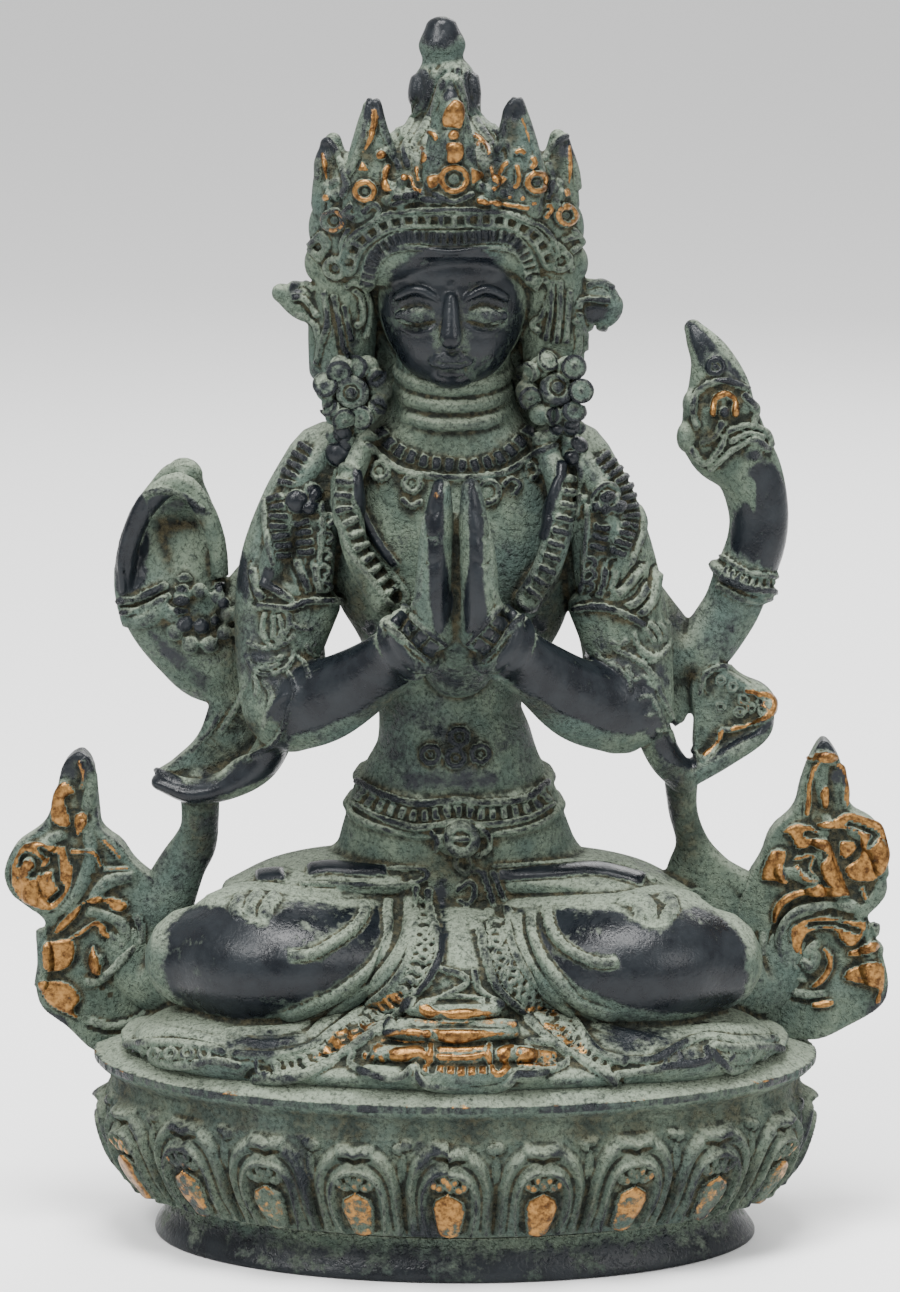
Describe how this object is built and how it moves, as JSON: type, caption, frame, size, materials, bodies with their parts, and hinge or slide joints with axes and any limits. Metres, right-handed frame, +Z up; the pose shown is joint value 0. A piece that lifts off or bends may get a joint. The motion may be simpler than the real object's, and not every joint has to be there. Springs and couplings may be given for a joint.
{
  "type": "avalokiteshvara statue",
  "caption": "Seated four-armed bodhisattva cast in brass on an oval lotus throne, hands in prayer, with side lotus flowers; stands on a flat base as an ornament.",
  "frame": {"origin": "centre of the throne's flat underside", "axes": "+Z up, -Y towards the viewer that the figure faces, +X to that viewer's right"},
  "size_m": [0.1455, 0.0772, 0.1992],
  "materials": {
    "patinated_brass": "green-grey patina in the hollows, dark polished bronze on the smooth high parts, rubbed gold brass on raised ornament"
  },
  "bodies": {
    "root": {"statue": "patinated_brass"}
  },
  "joints": []
}
